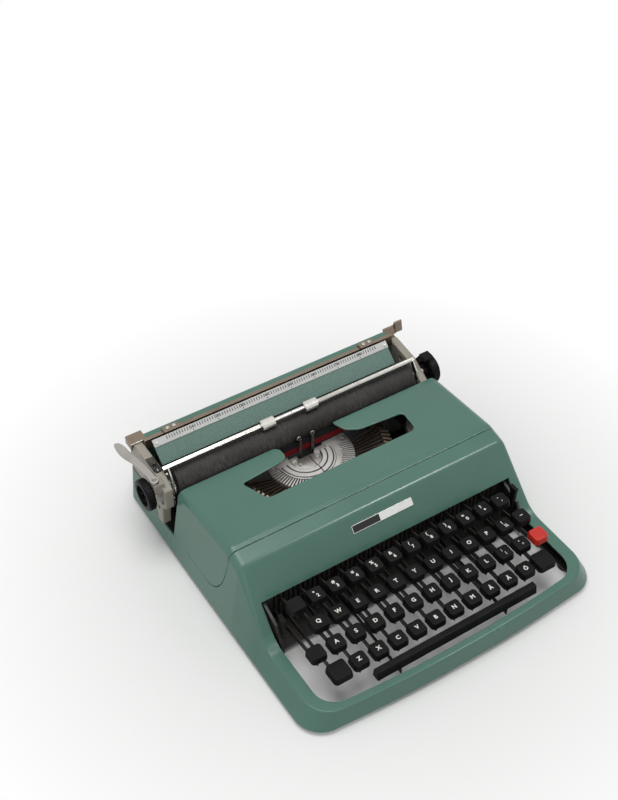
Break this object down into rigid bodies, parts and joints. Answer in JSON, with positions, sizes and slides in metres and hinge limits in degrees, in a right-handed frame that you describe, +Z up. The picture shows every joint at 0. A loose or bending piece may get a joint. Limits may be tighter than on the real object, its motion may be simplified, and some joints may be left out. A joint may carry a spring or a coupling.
{
  "type": "portable typewriter",
  "caption": "Flat portable typewriter with a painted sheet-metal case, lift-off ribbon cover, four-row keyboard, swinging typebars and a sliding carriage with platen.",
  "frame": {"origin": "on the ground, under the middle of the overall width and depth", "axes": "+X to the typist's right, +Y to the rear, +Z up"},
  "size_m": [0.3136, 0.328, 0.0976],
  "materials": {
    "case_paint": "satin",
    "table_paint": "hammered",
    "dark_steel": "satin",
    "bright_steel": "satin",
    "chrome": "polished",
    "grey_casting": "satin",
    "black_plastic": "satin",
    "red_plastic": "satin",
    "platen_rubber": "matte",
    "foot_rubber": "matte",
    "ribbon_cloth": "matte",
    "pale_metal": "satin",
    "plate_metal": "satin",
    "wheel_brass": "satin"
  },
  "bodies": {
    "case": {"body_shell": "case_paint", "bottom_pan": "dark_steel", "name_plate": "plate_metal", "rubber_feet": "foot_rubber", "chassis_frame": "dark_steel", "key_comb": "dark_steel", "key_pivot_shaft": "bright_steel", "carriage_rail": "bright_steel", "ribbon_deck": "dark_steel", "ribbon": "ribbon_cloth", "bell": "chrome"},
    "cover": {"ribbon_cover": "case_paint"},
    "basket": {"segment": "bright_steel", "typebars": "bright_steel", "type_rest": "dark_steel"},
    "striker": {"striking_typebar": "bright_steel"},
    "struck_key": {"striking_key": "black_plastic"},
    "vibrator": {"ribbon_vibrator": "dark_steel"},
    "row_1": {"key_levers_row_1": "dark_steel", "keytops_row_1": "black_plastic"},
    "row_2": {"key_levers_row_2": "dark_steel", "keytops_row_2": "black_plastic"},
    "row_3": {"key_levers_row_3": "dark_steel", "keytops_row_3": "black_plastic"},
    "row_4": {"key_levers_row_4": "dark_steel", "keytops_row_4": "black_plastic"},
    "space": {"space_bar": "black_plastic"},
    "shift": {"shift_keys": "black_plastic"},
    "shift_lock": {"shift_lock_key": "black_plastic"},
    "backspace": {"backspace_key": "black_plastic"},
    "tab": {"tab_key": "red_plastic", "tab_lever": "dark_steel"},
    "margin_release": {"margin_release_key": "black_plastic"},
    "tab_set": {"tab_set_lever": "black_plastic"},
    "colour_selector": {"ribbon_selector": "black_plastic"},
    "left_spool": {"ribbon_spool_left": "bright_steel"},
    "right_spool": {"ribbon_spool_right": "bright_steel"},
    "carriage": {"carriage_end_left": "grey_casting", "carriage_end_right": "grey_casting", "carriage_bed": "dark_steel", "carriage_rear_cover": "case_paint", "paper_table": "table_paint", "scale_strip": "pale_metal", "margin_rail": "bright_steel", "end_plate_left": "chrome"},
    "left_stop": {"margin_stop_left": "chrome"},
    "right_stop": {"margin_stop_right": "chrome"},
    "platen": {"platen_roller": "platen_rubber", "platen_shaft": "bright_steel", "knob_left": "black_plastic", "knob_right": "black_plastic"},
    "feed": {"feed_roller": "platen_rubber"},
    "bail": {"paper_bail": "chrome"},
    "bail_wheels": {"bail_rollers": "chrome"},
    "line_lever": {"return_lever": "chrome"},
    "paper_release": {"paper_release_lever": "chrome"},
    "carriage_release": {"carriage_release_lever": "black_plastic"},
    "line_selector": {"line_space_selector": "black_plastic"},
    "drum": {"mainspring_drum": "bright_steel"},
    "wheel": {"escapement_wheel": "wheel_brass"}
  },
  "joints": [
    {"name": "cover_lift", "type": "slide", "parent": "case", "child": "cover", "axis": [0, 0, 1], "range_m": [0, 0.06]},
    {"name": "carriage_travel", "type": "slide", "parent": "case", "child": "carriage", "axis": [1, 0, 0], "range_m": [-0.115, 0.115]},
    {"name": "row_1_press", "type": "hinge", "parent": "case", "child": "row_1", "pos_m": [0, 0.045, 0.016], "axis": [1, 0, 0], "range_deg": [0, 4.5], "stiffness_Nm_per_rad": 8, "springref_deg": -11.46},
    {"name": "row_2_press", "type": "hinge", "parent": "case", "child": "row_2", "pos_m": [0, 0.045, 0.016], "axis": [1, 0, 0], "range_deg": [0, 4.5], "stiffness_Nm_per_rad": 8, "springref_deg": -11.46},
    {"name": "row_3_press", "type": "hinge", "parent": "case", "child": "row_3", "pos_m": [0, 0.045, 0.016], "axis": [1, 0, 0], "range_deg": [0, 4.5], "stiffness_Nm_per_rad": 8, "springref_deg": -11.46},
    {"name": "row_4_press", "type": "hinge", "parent": "case", "child": "row_4", "pos_m": [0, 0.045, 0.016], "axis": [1, 0, 0], "range_deg": [0, 3.9], "stiffness_Nm_per_rad": 8, "springref_deg": -11.46},
    {"name": "struck_key_press", "type": "hinge", "parent": "case", "child": "struck_key", "pos_m": [0, 0.045, 0.016], "axis": [1, 0, 0], "range_deg": [0, 4.5], "stiffness_Nm_per_rad": 1, "springref_deg": -11.46},
    {"name": "space_press", "type": "hinge", "parent": "case", "child": "space", "pos_m": [0, 0.045, 0.016], "axis": [1, 0, 0], "range_deg": [0, 2.8], "stiffness_Nm_per_rad": 2, "springref_deg": -14.32},
    {"name": "shift_press", "type": "hinge", "parent": "case", "child": "shift", "pos_m": [0, 0.045, 0.016], "axis": [1, 0, 0], "range_deg": [0, 4.5], "stiffness_Nm_per_rad": 4, "springref_deg": -17.19},
    {"name": "shift_lock_press", "type": "hinge", "parent": "shift", "child": "shift_lock", "pos_m": [0, 0.045, 0.016], "axis": [1, 0, 0], "range_deg": [0, 2], "stiffness_Nm_per_rad": 1, "springref_deg": -11.46},
    {"name": "backspace_press", "type": "hinge", "parent": "case", "child": "backspace", "pos_m": [0, 0.045, 0.016], "axis": [1, 0, 0], "range_deg": [0, 4.5], "stiffness_Nm_per_rad": 1, "springref_deg": -11.46},
    {"name": "tab_press", "type": "hinge", "parent": "case", "child": "tab", "pos_m": [0, 0.045, 0.016], "axis": [1, 0, 0], "range_deg": [0, 4.5], "stiffness_Nm_per_rad": 1, "springref_deg": -11.46},
    {"name": "margin_release_press", "type": "hinge", "parent": "case", "child": "margin_release", "pos_m": [0, 0.045, 0.016], "axis": [1, 0, 0], "range_deg": [0, 4.5], "stiffness_Nm_per_rad": 1, "springref_deg": -11.46},
    {"name": "basket_shift", "type": "slide", "parent": "case", "child": "basket", "axis": [0, 0, -1], "range_m": [0, 0.006]},
    {"name": "typebar_swing", "type": "hinge", "parent": "basket", "child": "striker", "pos_m": [-0.001, 0.045, 0.041], "axis": [-1, 0, 0], "range_deg": [0, 110]},
    {"name": "vibrator_lift", "type": "slide", "parent": "case", "child": "vibrator", "axis": [0, 0, 1], "range_m": [0, 0.006]},
    {"name": "tab_set_turn", "type": "hinge", "parent": "case", "child": "tab_set", "pos_m": [-0.116, -0.073, 0.028], "axis": [1, 0, 0], "range_deg": [-12, 12]},
    {"name": "colour_turn", "type": "hinge", "parent": "case", "child": "colour_selector", "pos_m": [0.13, -0.066, 0.032], "axis": [1, 0, 0], "range_deg": [-12, 12]},
    {"name": "left_spool_spin", "type": "hinge", "parent": "case", "child": "left_spool", "pos_m": [-0.099, 0.038, 0.06], "axis": [0, 0, 1], "continuous": true},
    {"name": "right_spool_spin", "type": "hinge", "parent": "case", "child": "right_spool", "pos_m": [0.113, 0.038, 0.06], "axis": [0, 0, 1], "continuous": true},
    {"name": "platen_spin", "type": "hinge", "parent": "carriage", "child": "platen", "pos_m": [0, 0.09, 0.068], "axis": [1, 0, 0], "continuous": true},
    {"name": "feed_spin", "type": "hinge", "parent": "carriage", "child": "feed", "pos_m": [0, 0.09, 0.0462], "axis": [1, 0, 0], "continuous": true},
    {"name": "bail_swing", "type": "hinge", "parent": "carriage", "child": "bail", "pos_m": [0, 0.0805, 0.06], "axis": [1, 0, 0], "range_deg": [0, 22]},
    {"name": "bail_wheel_spin", "type": "hinge", "parent": "bail", "child": "bail_wheels", "pos_m": [0, 0.08924, 0.08979], "axis": [1, 0, 0], "continuous": true},
    {"name": "left_stop_travel", "type": "slide", "parent": "carriage", "child": "left_stop", "axis": [1, 0, 0], "range_m": [0, 0.09]},
    {"name": "right_stop_travel", "type": "slide", "parent": "carriage", "child": "right_stop", "axis": [1, 0, 0], "range_m": [-0.09, 0]},
    {"name": "line_lever_swing", "type": "hinge", "parent": "carriage", "child": "line_lever", "pos_m": [-0.146, 0.084, 0.086], "axis": [0, 0, 1], "range_deg": [0, 100]},
    {"name": "paper_release_turn", "type": "hinge", "parent": "carriage", "child": "paper_release", "pos_m": [0.141, 0.11, 0.074], "axis": [1, 0, 0], "range_deg": [0, 12]},
    {"name": "carriage_release_turn", "type": "hinge", "parent": "carriage", "child": "carriage_release", "pos_m": [0.141, 0.096, 0.056], "axis": [1, 0, 0], "range_deg": [0, 10], "stiffness_Nm_per_rad": 0.3, "springref_deg": -11.46},
    {"name": "line_selector_turn", "type": "hinge", "parent": "carriage", "child": "line_selector", "pos_m": [-0.13775, 0.1, 0.076], "axis": [1, 0, 0], "range_deg": [-10, 10]},
    {"name": "drum_spin", "type": "hinge", "parent": "case", "child": "drum", "pos_m": [-0.088, 0.138, 0.02], "axis": [0, 0, 1], "range_deg": [-470, 470]},
    {"name": "wheel_spin", "type": "hinge", "parent": "case", "child": "wheel", "pos_m": [0.047, 0.138, 0.026], "axis": [0, 0, 1], "range_deg": [-690, 690]}
  ],
  "couplings": [
    {"joint": "basket_shift", "follows": "shift_press", "m_per_rad": 0.0763},
    {"joint": "typebar_swing", "follows": "struck_key_press", "ratio": 24.4},
    {"joint": "vibrator_lift", "follows": "struck_key_press", "m_per_rad": 0.0763},
    {"joint": "feed_spin", "follows": "platen_spin", "ratio": -3.3},
    {"joint": "drum_spin", "follows": "carriage_travel", "rad_per_m": 71},
    {"joint": "wheel_spin", "follows": "carriage_travel", "rad_per_m": 103}
  ]
}
